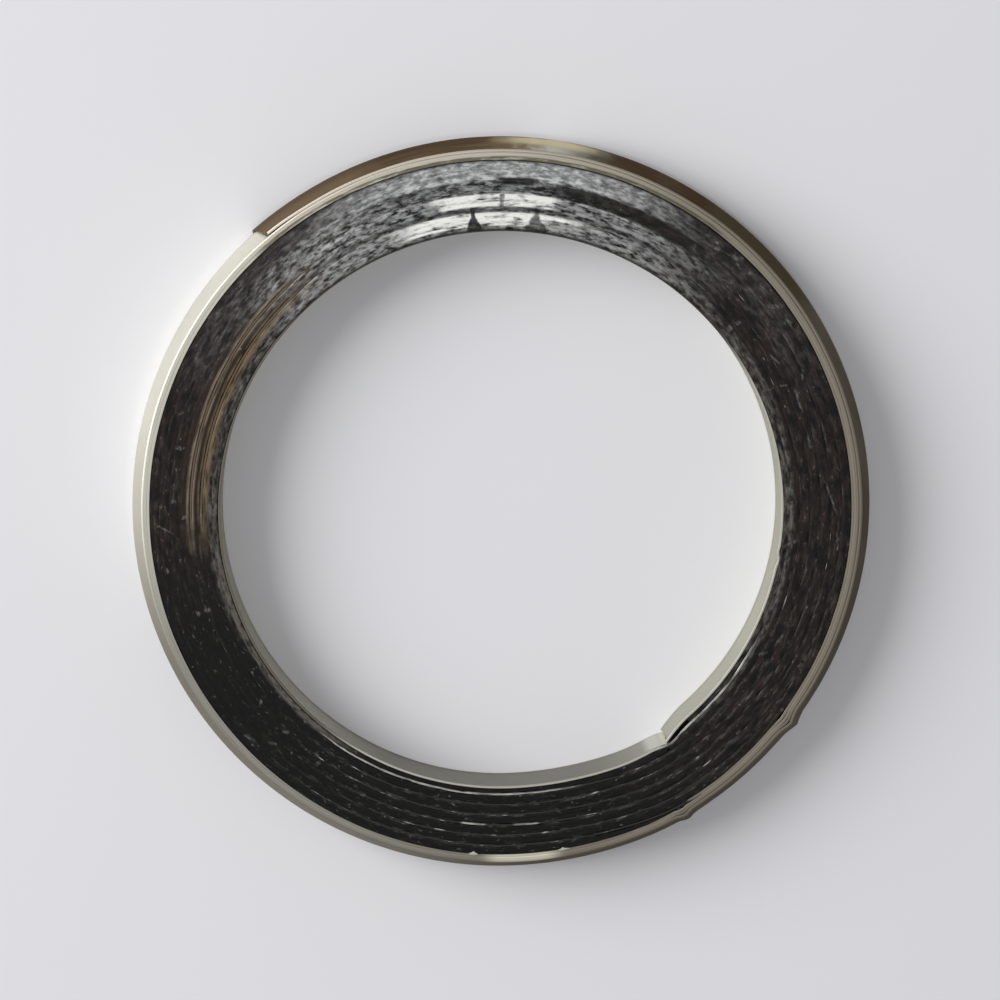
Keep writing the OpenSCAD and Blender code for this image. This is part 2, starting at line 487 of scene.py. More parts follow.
def tape_section(thick):
    start = STRIP_T + TAPE_FIT
    sides = [
        (TAPE_SKIN, 0), (STRIP_LOW_Z + EDGE_LAND, 0),
        (MID_Z - CREST_LAND / 2, V_DEPTH), (MID_Z + CREST_LAND / 2, V_DEPTH),
        (STRIP_HIGH_Z - EDGE_LAND, 0), (RING_H - 2 * TAPE_SKIN, 0),
    ]
    inner = [(start + out, z, SIDE, 0.0) for z, out in sides]
    top = [(start + thick * s, RING_H, TOP, s) for s in TOP_SHARES]
    outer = [(start + thick + out, z, SIDE, 1.0) for z, out in sides]
    bottom = [(start + thick * s, 0.0, BOTTOM, s) for s in BOTTOM_SHARES]
    return inner + top + outer[::-1] + bottom


print(len(tape_section(TAPE_T)), "points round the tape's section")

# %% [markdown]
# ## Winding the tape
# The tape is wound with the same arcs as the strip, set out by the strip's thickness. It is thin in the
# first gap, where it was squeezed, and it thins out to almost nothing in front of the bare turns.

# %% Wind the tape
TAPE_STEP = 0.36
THINNED_SHARE = 0.97


def climb_share(k):
    """Share of a climb that is done at turn number k."""
    t = k - math.floor(k)
    return 2 * t * t if t < 0.5 else 1 - 2 * (1 - t) ** 2


def added_thickness(k):
    """What the tape gains on its way out of the first gap, or loses in front of the bare turns."""
    if 0 < k < 1:
        return (TAPE_T - FIRST_TAPE_T) * climb_share(k)
    if k > FILLED_TURNS:
        return -THINNED_SHARE * TAPE_T * (1 if k >= FIRST_BARE else climb_share(k))
    return 0.0


bm = bmesh.new()
along, across, turn, part = tag_layers(bm)
first_sweep = 2 * math.pi - CLIMB - HOOK_ROOT
wound = spin_arc(bm, tape_section(FIRST_TAPE_T), turn_arc(0, HOOK_ROOT, first_sweep), TAPE_STEP, 0.0)
for arc in climb_arcs(0):
    wound = spin_arc(bm, tape_section(FIRST_TAPE_T), arc, TAPE_STEP, wound)
for k in range(1, FILLED_TURNS + 1):
    for arc in [turn_arc(k)] + climb_arcs(k):
        wound = spin_arc(bm, tape_section(TAPE_T), arc, TAPE_STEP, wound)
for v in bm.verts:
    v.co += added_thickness(v[turn]) * v[across] * Vector((v.co.x, v.co.y, 0)).normalized()
weld(bm)
print("tape wound,", round(wound / 1000, 2), "m long")

# %% [markdown]
# ## Shape of the tape
# Pressing left the top uneven along the ring, in low lumps, and smoother where it was burnished at the
# top of the picture. Where the graphite crept over the strip, the two rims of the tape reach out over
# the steel edge and nearly meet. A dark groove stays open next to the bare turns, and the tape lies low
# beside the hook.

# %% Shape of the tape
LONG_LUMP, SHORT_LUMP = 0.022, 0.014
CREEP_OUT, OPEN_SET_BACK = 0.135, 0.015
RIM_DROP, CREEP_UP = 0.075, 0.045
GROOVE_DROP = 0.05
LOW_TAPE = 0.22
OTHER_RIM = 180


def shape_top(v, k, deg, share):
    """Outward move and height of a point on the tape's top."""
    calm = 1 - 0.6 * window(deg, 95, 30, 14)
    out = 0.0
    z = v.co.z + calm * LONG_LUMP * ripple(v[along] / 1.7, 1.4 * share + 3.1 * k, 6.0)
    z += calm * SHORT_LUMP * ripple(v[along] / 0.8, 2.5 * share + 3.1 * k, 7.0)
    if share == 0.0 or share == 1.0:
        ply = k + share
        creep = covered(deg, ply, v[along] if share == 0.0 else v[along] + OTHER_RIM)
        outward = 1 if share == 1.0 else -1
        out = outward * (CREEP_OUT * creep - OPEN_SET_BACK)
        z = RING_H - RIM_DROP + CREEP_UP * creep
        if ply > FIRST_BARE - 0.7:
            z -= GROOVE_DROP
    if k < 0.5:
        z -= LOW_TAPE * max(window(deg, 319, 9, 5), 0.7 * window(deg, 258, 18, 12))
    return out, z


def shape_tape(v):
    radius, deg = place(v.co)
    k = v[turn]
    z = v.co.z
    share = v[across]
    out = 0.0
    if 0.4 < k < 1.3:
        out += hook_bulge(deg) * (1 - share)
    if k < 0.3:
        out += hook_bulge(deg) * share
    if v[part] == BOTTOM:
        z += 0.02 + 0.02 * ripple(v[along] / 1.6, share + 3 * k, 5.0)
    if v[part] == TOP:
        crept, z = shape_top(v, k, deg, share)
        out += crept
    v.co = moved(radius + out, deg, z)


for v in bm.verts:
    shape_tape(v)
tape = to_piece(bm, "wound_tape", smooth_angle=50)
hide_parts("graphite_tape")

# %% [markdown]
# ## Node helpers
# Materials are built from a few small helpers: one adds a node and fills its sockets, and the rest are
# short forms for mathematics, soft thresholds and colour mixes. A plain colour is three numbers.

# %% Node helpers
def is_socket(value):
    return isinstance(value, bpy.types.NodeSocket)


def add(tree, kind, sockets=None, **settings):
    """Adds a node, sets its properties, and fills or links its inputs."""
    node = tree.nodes.new(kind)
    for name, value in settings.items():
        setattr(node, name, value)
    for key, value in (sockets or {}).items():
        if is_socket(value):
            tree.links.new(value, node.inputs[key])
        else:
            node.inputs[key].default_value = value
    return node


def calc(tree, operation, a, b=0.0):
    return add(tree, "ShaderNodeMath", {0: a, 1: b}, operation=operation).outputs[0]


def vector_calc(tree, operation, a, b=(0, 0, 0)):
    return add(tree, "ShaderNodeVectorMath", {0: a, 1: b}, operation=operation).outputs


def rise(tree, value, low, high):
    """0 on the low side, 1 on the high side; low may be the larger number."""
    sockets = {"Value": value, "From Min": low, "From Max": high}
    return add(tree, "ShaderNodeMapRange", sockets, interpolation_type="SMOOTHSTEP").outputs[0]


def blend(tree, factor, a, b):
    a, b = [c if is_socket(c) else (*c, 1) for c in (a, b)]
    return add(tree, "ShaderNodeMix", {0: factor, 6: a, 7: b}, data_type="RGBA").outputs[2]


def product(tree, first, *others):
    for other in others:
        first = calc(tree, "MULTIPLY", first, other)
    return first


def total(tree, first, *others):
    """A sum that stops at 1."""
    for other in others:
        first = calc(tree, "ADD", first, other)
    return calc(tree, "MINIMUM", first, 1.0)


def rest_of(tree, mask):
    return calc(tree, "SUBTRACT", 1.0, mask)


def ramp(tree, mask, start, gain):
    """Goes from start, where the mask is 0, up by the gain, where it is 1."""
    return calc(tree, "ADD", start, calc(tree, "MULTIPLY", mask, gain))


def new_group(name, inputs, outputs):
    """An empty node group with float inputs (with defaults) and float outputs."""
    tree = bpy.data.node_groups.new(name, "ShaderNodeTree")
    for socket, default in inputs:
        made = tree.interface.new_socket(socket, in_out="INPUT", socket_type="NodeSocketFloat")
        made.default_value = default
    for socket in outputs:
        tree.interface.new_socket(socket, in_out="OUTPUT", socket_type="NodeSocketFloat")
    return tree, tree.nodes.new("NodeGroupInput").outputs, tree.nodes.new("NodeGroupOutput").inputs


def use(tree, group, **inputs):
    """Places a group and sets its inputs by name, with underscores for spaces."""
    sockets = {name.replace("_", " "): value for name, value in inputs.items()}
    return add(tree, "ShaderNodeGroup", sockets, node_tree=group).outputs[0]


def set_out(tree, socket, value):
    tree.links.new(value, socket)


def tell(tree, what):
    print(what + ":", len(tree.nodes), "nodes")


def material(name):
    made = bpy.data.materials.new(name)
    made.use_nodes = True
    return made, made.node_tree, made.node_tree.nodes["Principled BSDF"]


# %% [markdown]
# ## Radius and bands
# Both materials speak of the ring in the same terms. The first is the radius in millimetres, and a band
# is what lies between two radii, with soft borders.

# %% Ring radius and band groups
radius_group, _, group_out = new_group("ring radius", [], ["Radius"])
nt = radius_group
here = add(nt, "ShaderNodeTexCoord").outputs["Object"]
split = add(nt, "ShaderNodeSeparateXYZ", {0: here}).outputs
squares = [calc(nt, "MULTIPLY", split[i], split[i]) for i in (0, 1)]
metres = calc(nt, "SQRT", calc(nt, "ADD", *squares))
set_out(nt, group_out["Radius"], calc(nt, "MULTIPLY", metres, 1 / MM))

band_inputs = [("Low", 25.0), ("High", 26.0), ("Fade", 0.1)]
band_group, group_in, group_out = new_group("band mask", band_inputs, ["Mask"])
nt = band_group
radius_here = use(nt, radius_group)
past_low = calc(nt, "SUBTRACT", radius_here, group_in["Low"])
under_high = calc(nt, "SUBTRACT", group_in["High"], radius_here)
borders = [
    rise(nt, calc(nt, "DIVIDE", distance, group_in["Fade"]), -1, 1)
    for distance in (past_low, under_high)
]
set_out(nt, group_out["Mask"], calc(nt, "MULTIPLY", *borders))


def band_mask(tree, low, high, fade):
    return use(tree, band_group, Low=low, High=high, Fade=fade)


tell(nt, "band mask")

# %% [markdown]
# ## Arcs of the ring
# An arc is a stretch round the ring, with a middle angle and a half width. The mask uses the cosine of
# the angle between two directions, so that it has no seam anywhere on the ring. A noise makes its ends
# ragged where a hard line would look painted.

# %% Arc mask group
RAGGED_SCALE = 900.0
COSINE_LIMIT = 0.99999
arc_inputs = [("Middle", 0.0), ("Half", 10.0), ("Fade", 5.0), ("Ragged", 0.0)]
arc_group, group_in, group_out = new_group("arc mask", arc_inputs, ["Mask"])
nt = arc_group
here = add(nt, "ShaderNodeTexCoord").outputs["Object"]
flat = vector_calc(nt, "MULTIPLY", here, (1, 1, 0))[0]
heading = vector_calc(nt, "NORMALIZE", flat)[0]
middle = calc(nt, "RADIANS", group_in["Middle"])
aim_sockets = {0: calc(nt, "COSINE", middle), 1: calc(nt, "SINE", middle)}
aim = add(nt, "ShaderNodeCombineXYZ", aim_sockets).outputs[0]
cosine = vector_calc(nt, "DOT_PRODUCT", heading, aim)["Value"]
cosine = calc(nt, "MINIMUM", cosine, COSINE_LIMIT)
off = calc(nt, "DEGREES", calc(nt, "ARCCOSINE", cosine))
ragged_sockets = {"Vector": here, "Scale": RAGGED_SCALE, "Detail": 2.0}
ragged = add(nt, "ShaderNodeTexNoise", ragged_sockets).outputs[0]
sway = calc(nt, "MULTIPLY", calc(nt, "SUBTRACT", ragged, 0.5), group_in["Ragged"])
off = calc(nt, "ADD", off, sway)
outer = calc(nt, "ADD", group_in["Half"], group_in["Fade"])
beyond = rise(nt, off, group_in["Half"], outer)
set_out(nt, group_out["Mask"], rest_of(nt, beyond))


def arc_mask(tree, middle, half, fade, ragged=0.0):
    return use(tree, arc_group, Middle=middle, Half=half, Fade=fade, Ragged=ragged)


tell(nt, "arc mask")

# %% [markdown]
# ## Grain along the winding
# Rolling, winding and pressing all leave marks that run along the strip. A noise in two coordinates, the
# distance along the winding and the radius, is stretched to a given length and width in millimetres.

# %% Wound grain group
GRAIN_ROUGHNESS = 0.6
grain_inputs = [("Length", 4.0), ("Width", 0.3), ("Seed", 0.0), ("Detail", 2.0)]
grain_group, group_in, group_out = new_group("wound grain", grain_inputs, ["Value"])
nt = grain_group
distance = add(nt, "ShaderNodeAttribute", attribute_name="along").outputs["Fac"]
radius_here = use(nt, radius_group)
grain_at = add(nt, "ShaderNodeCombineXYZ", {
    0: calc(nt, "DIVIDE", distance, group_in["Length"]),
    1: calc(nt, "DIVIDE", radius_here, group_in["Width"]),
    2: group_in["Seed"],
}).outputs[0]
grain = add(nt, "ShaderNodeTexNoise", {
    "Vector": grain_at, "Scale": 1.0, "Detail": group_in["Detail"], "Roughness": GRAIN_ROUGHNESS,
}).outputs[0]
set_out(nt, group_out["Value"], grain)


def wound_grain(tree, length, width, seed, detail):
    return use(tree, grain_group, Length=length, Width=width, Seed=seed, Detail=detail)


tell(nt, "wound grain")

# %% [markdown]
# ## Scuffs
# A scuff is a short scratch or a spot at a given place, turned by a given angle. A noise makes its
# outline sway, and two soft steps give its half length and half width.

# %% Scuff group
SCUFF_SWAY = 0.16
scuff_inputs = [("X", 0.0), ("Y", 0.0), ("Turn", 0.0), ("Half length", 1.0), ("Half width", 0.1)]
scuff_group, group_in, group_out = new_group("scuff", scuff_inputs, ["Mask"])
nt = scuff_group
here = add(nt, "ShaderNodeTexCoord").outputs["Object"]
here_mm = vector_calc(nt, "MULTIPLY", here, (1 / MM, 1 / MM, 0))[0]
sway_sockets = {"Vector": here_mm, "Scale": 3.0, "Detail": 1.0}
sway = add(nt, "ShaderNodeTexNoise", sway_sockets).outputs["Color"]
sway = vector_calc(nt, "MULTIPLY", sway, (SCUFF_SWAY, SCUFF_SWAY, 0))[0]
middle = add(nt, "ShaderNodeCombineXYZ", {0: group_in["X"], 1: group_in["Y"]}).outputs[0]
middle = vector_calc(nt, "ADD", middle, (SCUFF_SWAY / 2, SCUFF_SWAY / 2, 0))[0]
off = vector_calc(nt, "SUBTRACT", here_mm, middle)[0]
off = vector_calc(nt, "ADD", off, sway)[0]
back = calc(nt, "MULTIPLY", calc(nt, "RADIANS", group_in["Turn"]), -1.0)
turn_sockets = {"Vector": off, "Angle": back}
off = add(nt, "ShaderNodeVectorRotate", turn_sockets, rotation_type="Z_AXIS").outputs[0]
split = add(nt, "ShaderNodeSeparateXYZ", {0: off}).outputs
fades = []
for axis, half in ((0, "Half length"), (1, "Half width")):
    share = calc(nt, "DIVIDE", calc(nt, "ABSOLUTE", split[axis]), group_in[half])
    fades.append(rise(nt, share, 1.1, 0.4))
set_out(nt, group_out["Mask"], calc(nt, "MULTIPLY", *fades))
tell(nt, "scuff")

# %% [markdown]
# ## Pressed graphite
# Pressed graphite is nearly black and shines like a soft pencil mark. On this ring it is dull and dark
# almost everywhere, with grey streaks where flakes lie at an angle, and a faint red-brown tint on both
# sides. Five grains of different sizes serve for all its marks, so that they follow the winding.

# %% Dark body of the graphite
BLACK = (0.005, 0.005, 0.0046)
RED_BROWN = (0.0205, 0.013, 0.01)
STREAK_GREY = (0.09, 0.084, 0.075)

graphite, nt, shader = material("pressed_graphite")
streaks = wound_grain(nt, 2.3, 0.3, seed=1, detail=2)
blotches = wound_grain(nt, 1.5, 0.75, seed=5, detail=3)
flakes = wound_grain(nt, 0.6, 0.26, seed=3, detail=1)
speckle = wound_grain(nt, 0.95, 0.36, seed=15, detail=3)
specks = wound_grain(nt, 0.62, 0.36, seed=9, detail=2)

right_arc = arc_mask(nt, 5, 35, 45)
left_arc = arc_mask(nt, 155, 24, 26)
warm = product(nt, total(nt, right_arc, left_arc), rise(nt, blotches, 0.34, 0.64))
body = blend(nt, warm, BLACK, RED_BROWN)
grey_side = total(nt, product(nt, left_arc, 0.6), product(nt, right_arc, 0.45), 0.14)
streak_mask = product(nt, rise(nt, streaks, 0.48, 0.8), rise(nt, blotches, 0.36, 0.66), grey_side)
body = blend(nt, streak_mask, body, STREAK_GREY)
tell(nt, "dark body")

# %% [markdown]
# ## Rubbed graphite beside the bore
# The first plies beside the bore were rubbed by the pipe. They are speckled grey on both sides, and a
# thin tan line follows the bore at the lower left.

# %% Rubbed graphite beside the bore
RUBBED_GREY = (0.14, 0.133, 0.118)
RUBBED_TAN = (0.11, 0.1, 0.082)

rubbed = product(nt, rise(nt, speckle, 0.34, 0.72), rise(nt, blotches, 0.22, 0.6))
inner_right = product(nt, band_mask(nt, 24.7, 25.6, 0.2), arc_mask(nt, 5, 42, 20), rubbed)
inner_left = product(nt, band_mask(nt, 24.75, 25.6, 0.2), arc_mask(nt, 163, 28, 22), rubbed)
body = blend(nt, total(nt, inner_right, inner_left), body, RUBBED_GREY)
tan_line = product(
    nt, band_mask(nt, 24.72, 25.25, 0.14), arc_mask(nt, 213, 16, 14), rise(nt, speckle, 0.24, 0.62),
)
body = blend(nt, tan_line, body, RUBBED_TAN)
tell(nt, "rubbed graphite")

# %% [markdown]
# ## Brown patch on the left
# On the left two plies stand open in beige and gold on a dark brown ground.
# Each line is a narrow band, broken by the streaks, so that it has no hard ends.

# %% Brown patch of the graphite
PATCH_BROWN = (0.024, 0.014, 0.009)
BEIGE = (0.235, 0.19, 0.14)
GOLD = (0.18, 0.132, 0.075)

brown_arc = arc_mask(nt, 157, 18, 16, ragged=10)
brown_ground = product(nt, band_mask(nt, 26.4, 28.0, 0.25), brown_arc, 0.8)
beige_line = product(nt, band_mask(nt, 26.82, 27.42, 0.16), brown_arc, rise(nt, streaks, 0.22, 0.62))
gold_line = product(nt, band_mask(nt, 25.62, 26.44, 0.2), brown_arc, rise(nt, streaks, 0.26, 0.66))
body = blend(nt, brown_ground, body, PATCH_BROWN)
body = blend(nt, beige_line, body, BEIGE)
body = blend(nt, gold_line, body, GOLD)
tell(nt, "brown patch")

# %% [markdown]
# ## Specks and smears
# Small bright specks are flakes that lie flat to the light. Beside the edges of the strip the graphite
# is smeared grey, most of all at the bottom. The place across the tape tells where its rims are.

# %% Specks and smears of the graphite
SPECK_GREY = (0.19, 0.19, 0.175)
SMEAR_GREY = (0.075, 0.074, 0.068)

speck_mask = product(nt, rise(nt, specks, 0.6, 0.8), rise(nt, blotches, 0.4, 0.64))
body = blend(nt, speck_mask, body, SPECK_GREY)
across_here = add(nt, "ShaderNodeAttribute", attribute_name="across").outputs["Fac"]
off_middle = calc(nt, "ABSOLUTE", calc(nt, "SUBTRACT", across_here, 0.5))
low_side = ramp(nt, arc_mask(nt, 288, 44, 28), 0.12, 0.88)
smears = product(
    nt, rise(nt, off_middle, 0.3, 0.5), low_side,
    rise(nt, speckle, 0.44, 0.68), rise(nt, blotches, 0.34, 0.6),
)
body = blend(nt, smears, body, SMEAR_GREY)
tell(nt, "specks and smears")

# %% [markdown]
# ## Scratches and spots
# Handling left single scratches and spots on the graphite. Each row of the table is the place of one
# in millimetres, its turn in degrees, and its half length and half width.

# %% Scuffs on the graphite
SCUFF_GREY = (0.13, 0.127, 0.118)
SCUFFS = (
    # Right side.
    (25.9, 9.7, -71, 1.2, 0.15), (26.8, 6.2, -74, 0.9, 0.15), (23.1, 10.6, 18, 0.6, 0.11),
    (24.6, 11.0, 6, 0.45, 0.11), (28.8, 1.2, -69, 1.9, 0.1), (26.2, 12.1, -89, 0.7, 0.13),
    (25.2, -3.0, 26, 0.9, 0.18), (23.7, 17.9, -3, 0.9, 0.26), (24.9, 16.5, -32, 0.4, 0.28),
    (29.4, -2.7, -92, 0.9, 0.13), (23.8, 13.3, -39, 0.7, 0.12),
    # Left side.
    (-29.4, -1.4, -29, 1.1, 0.1), (-25.6, 0.8, -93, 0.8, 0.15), (-28.0, 5.7, -16, 0.36, 0.22),
    (-28.5, 1.0, -5, 0.24, 0.2), (-27.6, -0.4, 0, 0.3, 0.22), (-26.6, -8.9, -24, 0.42, 0.24),
    (-29.2, -5.1, -60, 0.3, 0.2), (-25.7, -8.6, 0, 0.32, 0.2),
    # Lower right.
    (26.3, -13.8, 46, 0.3, 0.2), (24.4, -11.5, 56, 0.7, 0.13), (22.9, -12.7, 18, 0.6, 0.15),
    (20.9, -19.8, 46, 0.3, 0.2), (23.4, -15.0, 55, 0.95, 0.13), (21.9, -16.4, 50, 0.75, 0.13),
    # Upper right.
    (20.3, 22.2, -40, 0.36, 0.28), (18.7, 23.0, -10, 0.34, 0.22), (21.6, 20.8, -30, 0.3, 0.24),
    (22.6, 19.7, -35, 0.3, 0.26), (16.6, 23.1, 30, 0.3, 0.2), (17.7, 20.8, 10, 0.34, 0.26),
    (12.5, 22.3, -20, 0.32, 0.24), (12.9, 21.5, -30, 0.3, 0.22), (14.3, 21.2, -30, 0.36, 0.3),
    (19.8, 16.0, 45, 0.4, 0.3), (20.6, 16.5, 30, 0.3, 0.2), (18.0, 18.0, -20, 0.3, 0.24),
    # Lower left.
    (-21.1, -16.8, 80, 0.55, 0.14), (-22.1, -20.0, -28, 0.7, 0.15), (-20.1, -20.5, -20, 0.45, 0.14),
    (-16.2, -21.5, -60, 0.28, 0.2), (-18.9, -19.5, 0, 0.36, 0.18), (-16.1, -22.3, 30, 0.3, 0.2),
    (-12.8, -24.5, -50, 0.32, 0.16),
)
scuffs = total(nt, *[
    use(nt, scuff_group, X=x, Y=y, Turn=turned_by, Half_length=long, Half_width=wide)
    for x, y, turned_by, long, wide in SCUFFS
])
scuffs = product(nt, scuffs, rise(nt, flakes, 0.34, 0.66), 0.8)
body = blend(nt, scuffs, body, SCUFF_GREY)
print(len(SCUFFS), "scuffs")

# %% [markdown]
# ## Painted grey sheen along the top
# Along the top of the picture the face is painted with a grey metallic sheen, where the overhead lamp is
# mirrored. It is lightest on the outer plies and speckled on the inner ones, with a darker band between
# them, and a faint painted sheen reaches both sides. Two black patches and one ply line stay dull, and two
# notches reach in from the bore.

# %% Painted sheen of the graphite
SHEEN_GREY = (0.62, 0.63, 0.62)

radius_here = use(nt, radius_group)
deep = rise(nt, radius_here, 26.1, 24.9)
left_notch = arc_mask(nt, 95.4, product(nt, deep, 1.15), 0.4, ragged=1.6)
right_notch = arc_mask(nt, 83.2, product(nt, deep, 1.7), 0.8, ragged=3.2)
notch = total(nt, left_notch, product(nt, right_notch, 0.88))

# Painted sheen: the top of the face is painted light grey and metallic, where the overhead lamp is mirrored.
outer_sheen = product(
    nt, band_mask(nt, 28.95, 30.5, 0.25), arc_mask(nt, 91, 13, 27, ragged=5),
    rise(nt, blotches, 0.14, 0.56),
    ramp(nt, rise(nt, speckle, 0.3, 0.7), 0.36, 0.55),
    ramp(nt, rise(nt, flakes, 0.34, 0.66), 0.62, 0.62),
)
middle_sheen = product(
    nt, band_mask(nt, 27.65, 29.2, 0.2), arc_mask(nt, 100, 24, 22, ragged=5),
    rise(nt, speckle, 0.34, 0.66), rise(nt, blotches, 0.25, 0.6), 0.5,
)
inner_sheen = product(
    nt, band_mask(nt, 24.75, 27.8, 0.2), arc_mask(nt, 95, 26, 28, ragged=5),
    rise(nt, speckle, 0.34, 0.64), rise(nt, blotches, 0.18, 0.5), 0.55,
    rest_of(nt, product(nt, notch, 0.85)),
)
side_arcs = total(nt, arc_mask(nt, 135, 8, 20, ragged=6), product(nt, arc_mask(nt, 44, 8, 18, ragged=6), 0.6))
side_sheen = product(
    nt, band_mask(nt, 27.6, 30.4, 0.3), side_arcs, rise(nt, blotches, 0.22, 0.62),
    ramp(nt, rise(nt, speckle, 0.4, 0.78), 0.025, 0.15),
)
long_patch = product(nt, band_mask(nt, 27.7, 28.9, 0.12), arc_mask(nt, 68, 10, 6, ragged=6))
short_patch = product(nt, band_mask(nt, 28.55, 29.15, 0.12), arc_mask(nt, 87, 2.7, 1.2, ragged=3))
ply_line = product(nt, band_mask(nt, 26.24, 26.58, 0.1), rise(nt, streaks, 0.25, 0.5), 0.75)
dull = total(nt, long_patch, short_patch, ply_line)
# The skin is this painted sheen, weakened on the dull patches.
skin = total(nt, outer_sheen, middle_sheen, inner_sheen, side_sheen)
sheen_level = product(nt, skin, rest_of(nt, product(nt, dull, 0.9)))
body = blend(nt, sheen_level, body, SHEEN_GREY)
tell(nt, "grey skin")

# %% [markdown]
# ## Painted highlights in the sheen
# In two plies of the top the sheen is painted as an almost white highlight. A crack divides the middle
# ply, and the notches divide the inner one, whose highlight stops short of the bore at its right end.

# %% Painted highlights of the graphite
HIGHLIGHT_WHITE = (0.9, 0.9, 0.85)

# Painted highlight: two plies of the top are painted almost white and metallic, with a gap left at the bore.
highlight_gap = product(nt, arc_mask(nt, 74, 7, 2, ragged=5), rise(nt, radius_here, 25.85, 25.6), 0.85)
inner_highlight = product(
    nt, arc_mask(nt, 92, 13, 9, ragged=8), band_mask(nt, 25.0, 26.14, 0.09),
    rest_of(nt, notch), rest_of(nt, highlight_gap),
)
crack = product(nt, arc_mask(nt, 89.8, 0.22, 0.35, ragged=0.8), 0.88)
middle_highlight = product(
    nt, arc_mask(nt, 91, 9, 3.5, ragged=7), band_mask(nt, 26.68, 27.72, 0.09), rest_of(nt, crack),
)
highlight_breakup = calc(nt, "ADD", product(nt, streaks, 0.5), product(nt, blotches, 0.6))
painted_highlight = product(nt, total(nt, inner_highlight, middle_highlight), rise(nt, highlight_breakup, 0.4, 0.57))
body = blend(nt, painted_highlight, body, HIGHLIGHT_WHITE)
tell(nt, "bright blocks")

# %% [markdown]
# ## Gloss and grain of the graphite
# The painted sheen and highlights, specks and scuffs shine like metal, and the rest is a dull dark solid.
# The grains also feed a fine bump, so that the face breaks up the light.

# %% Gloss and grain of the graphite
BUMP_STRENGTH, BUMP_DEPTH = 0.7, 0.0001
GRAPHITE_SPECULAR = 0.14

marks = total(nt, speck_mask, scuffs)
shine = total(nt, painted_highlight, product(nt, sheen_level, 0.9), product(nt, marks, 0.5))
rough = ramp(nt, blotches, 0.36, 0.25)
height = total(nt, product(nt, flakes, 0.4), product(nt, blotches, 0.35), product(nt, streaks, 0.25))
bump = add(nt, "ShaderNodeBump", {"Height": height, "Strength": BUMP_STRENGTH, "Distance": BUMP_DEPTH})
set_out(nt, shader.inputs["Base Color"], body)
set_out(nt, shader.inputs["Metallic"], shine)
set_out(nt, shader.inputs["Roughness"], rough)
set_out(nt, shader.inputs["Normal"], bump.outputs[0])
shader.inputs["Specular IOR Level"].default_value = GRAPHITE_SPECULAR
tape.data.materials.append(graphite)
tell(nt, "graphite")

# %% [markdown]
# ## Strip steel
# The strip is bright rolled stainless steel with a fine grain along its length. Its tints depend on the
# place: the height tells edge and wall apart, and the number of the turn tells the bore, the buried
# turns and the bare ones.

# %% Places and grain of the steel
STEEL_DARK = (0.7, 0.68, 0.59)
STEEL_LIGHT = (0.84, 0.82, 0.73)

steel, nt, shader = material("strip_steel")
place_here = add(nt, "ShaderNodeTexCoord").outputs["Object"]
metres_up = add(nt, "ShaderNodeSeparateXYZ", {0: place_here}).outputs[2]
height_mm = calc(nt, "MULTIPLY", metres_up, 1 / MM)
turn_here = add(nt, "ShaderNodeAttribute", attribute_name="turn").outputs["Fac"]
wall = rest_of(nt, rise(nt, height_mm, STRIP_HIGH_Z - 0.26, STRIP_HIGH_Z - 0.08))
near_top = rise(nt, height_mm, STRIP_HIGH_Z - 0.6, STRIP_HIGH_Z - 0.3)
edge = rise(nt, height_mm, STRIP_HIGH_Z - 0.25, STRIP_HIGH_Z - 0.08)
outside = rise(nt, turn_here, FIRST_BARE - 0.15, FIRST_BARE - 0.03)
bore_turn = rest_of(nt, rise(nt, turn_here, 0.9, 0.98))
flank = product(nt, outside, wall)
rims = product(nt, outside, rest_of(nt, wall))

brushed = wound_grain(nt, 9.0, 0.06, seed=2, detail=3)
smudge = wound_grain(nt, 6.0, 1.2, seed=8, detail=2)
mottle = wound_grain(nt, 1.8, 0.3, seed=12, detail=2)
metal = blend(nt, brushed, STEEL_DARK, STEEL_LIGHT)
tell(nt, "clean steel")

# %% [markdown]
# ## Outer band
# Heat and handling tinted the outer wall, and its changes round the ring are also painted reflection and
# shade: a painted cream reflection at the upper left, painted shade in dull olive below, and painted shade
# in dark brown on the right. The edges of the bare turns keep more of the bare metal; they are painted
# lighter at the top and darker below and on the right, and one short stretch of them has a painted
# highlight at the bottom.

# %% Outer band of the steel
CREAM_REFLECTION = (0.96, 0.94, 0.84)
OLIVE_SHADE = (0.17, 0.155, 0.125)
SHADE_DARK, SHADE_LIGHT = (0.028, 0.019, 0.009), (0.078, 0.06, 0.036)
RIM, RIM_TOP_SHEEN = (0.44, 0.43, 0.36), (0.6, 0.55, 0.46)
RIM_LOW_SHADE, RIM_RIGHT_SHADE = (0.28, 0.268, 0.232), (0.27, 0.235, 0.185)
RIM_HIGHLIGHT = (0.85, 0.82, 0.66)

right_arc = arc_mask(nt, 345, 64, 46)
low_arc = arc_mask(nt, 248, 38, 34)
top_side = arc_mask(nt, 92, 38, 5)
# Painted reflection: the upper left wall is painted cream, as where it mirrors the lit side.
metal = blend(nt, product(nt, flank, arc_mask(nt, 147, 17, 22), 0.9), metal, CREAM_REFLECTION)
# Painted shade: the lower wall is painted a dull olive, darker than the clean steel.
metal = blend(nt, product(nt, low_arc, flank, 0.75), metal, OLIVE_SHADE)
# Painted shade: the right wall is painted dark brown, as the dark reflection it shows, streaked by the smudge
# grain.
right_shade = blend(nt, rise(nt, smudge, 0.25, 0.75), SHADE_DARK, SHADE_LIGHT)
upper_flank = ramp(nt, rise(nt, height_mm, 2.0, 3.2), 0.55, 0.45)
metal = blend(nt, product(nt, right_arc, flank, upper_flank, ramp(nt, brushed, 0.8, 0.2)), metal, right_shade)
metal = blend(nt, product(nt, rims, 0.6), metal, RIM)
